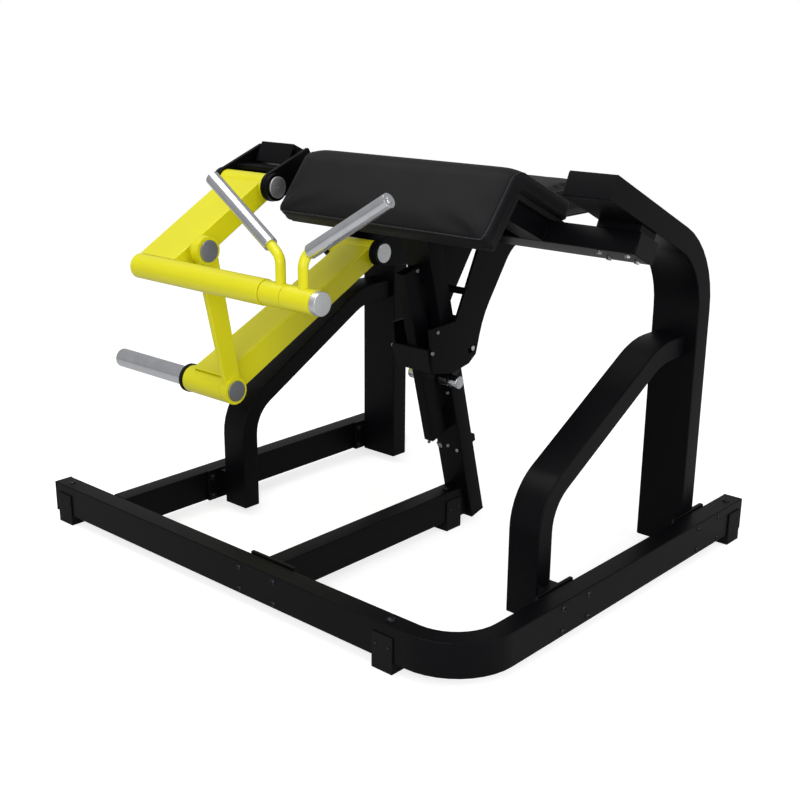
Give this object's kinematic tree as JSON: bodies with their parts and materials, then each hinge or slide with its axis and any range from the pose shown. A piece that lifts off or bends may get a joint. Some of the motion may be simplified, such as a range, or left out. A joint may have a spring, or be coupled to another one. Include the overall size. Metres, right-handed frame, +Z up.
{
  "type": "biceps curl machine",
  "caption": "Plate-loaded preacher curl machine with a ridged arm pad, a height-adjustable seat, and a hinged lift arm linked to a weight lever.",
  "frame": {"origin": "middle of the centre foot's sole, on the floor, on the machine's mid-plane", "axes": "+Z up, +X to the side of the single bent rail, -Y the way the seated user faces"},
  "size_m": [1.4295, 1.1205, 0.9584],
  "materials": {
    "black_paint": "satin powder coat",
    "yellow_paint": "gloss powder coat",
    "black_vinyl": "matte grain",
    "stained_board": "black stained",
    "chrome": "polished",
    "brushed_caps": "brushed",
    "bare_steel": "zinc plated",
    "black_rubber": "matte",
    "black_plastic": "matte"
  },
  "bodies": {
    "frame": {"base_rail": "black_paint", "left_beam": "black_paint", "middle_beam": "black_paint", "left_post": "black_paint", "right_post": "black_paint", "left_brace": "black_paint", "right_brace": "black_paint", "crossbar": "black_paint", "seat_column": "black_paint", "guide_rail": "black_paint", "seat_rack": "black_paint", "upper_fork_outer_cheek": "black_paint", "upper_fork_inner_cheek": "black_paint", "lower_fork_outer_cheek": "black_paint", "lower_fork_inner_cheek": "black_paint", "arm_pad": "black_vinyl", "arm_pad_board": "stained_board", "upper_pivot_cap": "brushed_caps", "lower_pivot_cap": "brushed_caps", "upper_pivot_shaft": "bare_steel", "lower_pivot_shaft": "bare_steel", "front_left_foot": "black_rubber", "front_right_foot": "black_rubber", "rear_left_foot": "black_rubber", "rear_right_foot": "black_rubber", "centre_foot": "black_rubber", "rail_front_plug": "black_plastic", "rail_rear_plug": "black_plastic", "left_beam_plug": "black_plastic", "column_plug": "black_plastic"},
    "lift_arm": {"upper_arm": "yellow_paint", "upper_arm_bush": "bare_steel", "handle_tube": "yellow_paint", "handle_axle": "bare_steel", "handle_end_cap": "brushed_caps"},
    "left_curl_handle": {"left_handle": "yellow_paint", "left_grip": "chrome"},
    "right_curl_handle": {"right_handle": "yellow_paint", "right_grip": "chrome"},
    "weight_lever": {"weight_arm": "yellow_paint", "weight_arm_bush": "bare_steel", "weight_hub": "yellow_paint", "horn_collar": "black_rubber", "weight_horn": "chrome"},
    "link": {"link_bar": "yellow_paint", "upper_link_cap": "brushed_caps", "lower_link_cap": "brushed_caps"},
    "seat_carriage": {"left_seat_arm": "black_paint", "right_seat_arm": "black_paint", "seat_arm_spacer": "black_paint", "front_glide": "black_plastic", "left_rear_glide": "black_plastic", "right_rear_glide": "black_plastic", "seat_plate": "black_paint", "seat_cushion": "black_vinyl"},
    "seat_release": {"pawl_pin": "chrome", "left_release_link": "bare_steel", "right_release_link": "bare_steel", "left_release_knob": "chrome", "right_release_knob": "chrome"}
  },
  "joints": [
    {"name": "lift_arm_pivot", "type": "hinge", "parent": "frame", "child": "lift_arm", "pos_m": [-0.468, -0.232, 0.865], "axis": [-1, 0, 0], "range_deg": [0, 100]},
    {"name": "weight_lever_pivot", "type": "hinge", "parent": "frame", "child": "weight_lever", "pos_m": [-0.468, 0.157, 0.65], "axis": [-1, 0, 0], "range_deg": [0, 37.3]},
    {"name": "link_pivot", "type": "hinge", "parent": "weight_lever", "child": "link", "pos_m": [-0.376, -0.386, 0.377], "axis": [-1, 0, 0], "range_deg": [-6.9, 0]},
    {"name": "left_handle_turn", "type": "hinge", "parent": "lift_arm", "child": "left_curl_handle", "pos_m": [-0.0437, -0.536, 0.693], "axis": [1, 0, 0], "range_deg": [-30, 30]},
    {"name": "right_handle_turn", "type": "hinge", "parent": "lift_arm", "child": "right_curl_handle", "pos_m": [0.03455, -0.536, 0.693], "axis": [1, 0, 0], "range_deg": [-30, 30]},
    {"name": "seat_slide", "type": "slide", "parent": "frame", "child": "seat_carriage", "axis": [0, -0.2538, 0.9673], "range_m": [-0.1792, 0]},
    {"name": "release_slide", "type": "slide", "parent": "seat_carriage", "child": "seat_release", "axis": [0, 0.9673, 0.2538], "range_m": [-0.0125, 0]}
  ],
  "couplings": [
    {"joint": "weight_lever_pivot", "follows": "lift_arm_pivot", "ratio": 0.373},
    {"joint": "link_pivot", "follows": "lift_arm_pivot", "ratio": -0.069}
  ]
}
